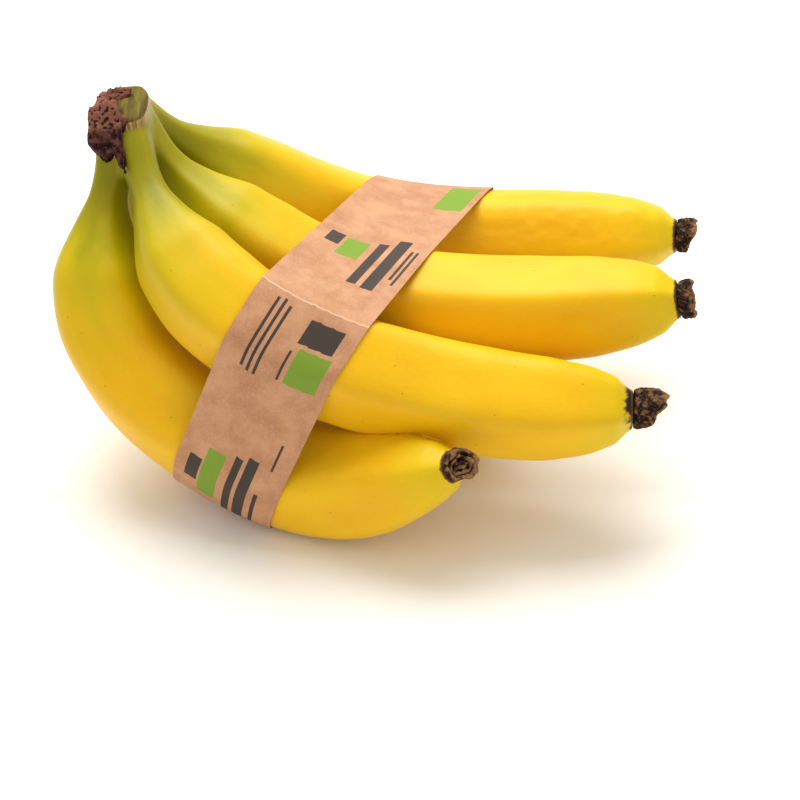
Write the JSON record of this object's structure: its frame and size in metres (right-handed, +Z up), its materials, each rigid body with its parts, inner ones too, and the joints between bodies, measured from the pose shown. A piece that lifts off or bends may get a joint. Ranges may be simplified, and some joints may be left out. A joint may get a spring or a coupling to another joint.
{
  "type": "bunch of bananas",
  "caption": "Hand of ripe yellow bananas joined at one brown crown, lying on its outer curve, with a kraft paper band round its middle.",
  "frame": {"origin": "centre of the footprint box, on the surface that the hand lies on", "axes": "+Z up, +X from the crown towards the blossom ends, -Y towards the viewer of the side that shows the front fingers"},
  "size_m": [0.2166, 0.1454, 0.1216],
  "materials": {
    "peel": "smooth waxy banana peel, golden yellow, green at the necks and the crown, a little green at the tips",
    "crown_bark": "dry, torn, fibrous brown cut end",
    "blossom_end": "dry, crumpled dark brown blossom end",
    "kraft_paper": null
  },
  "bodies": {
    "root": {"banana_hand": "peel", "crown_bark": "crown_bark", "paper_band": "kraft_paper", "blossom_end_1": "blossom_end", "blossom_end_2": "blossom_end", "blossom_end_3": "blossom_end", "blossom_end_4": "blossom_end", "blossom_end_5": "blossom_end"}
  },
  "joints": []
}
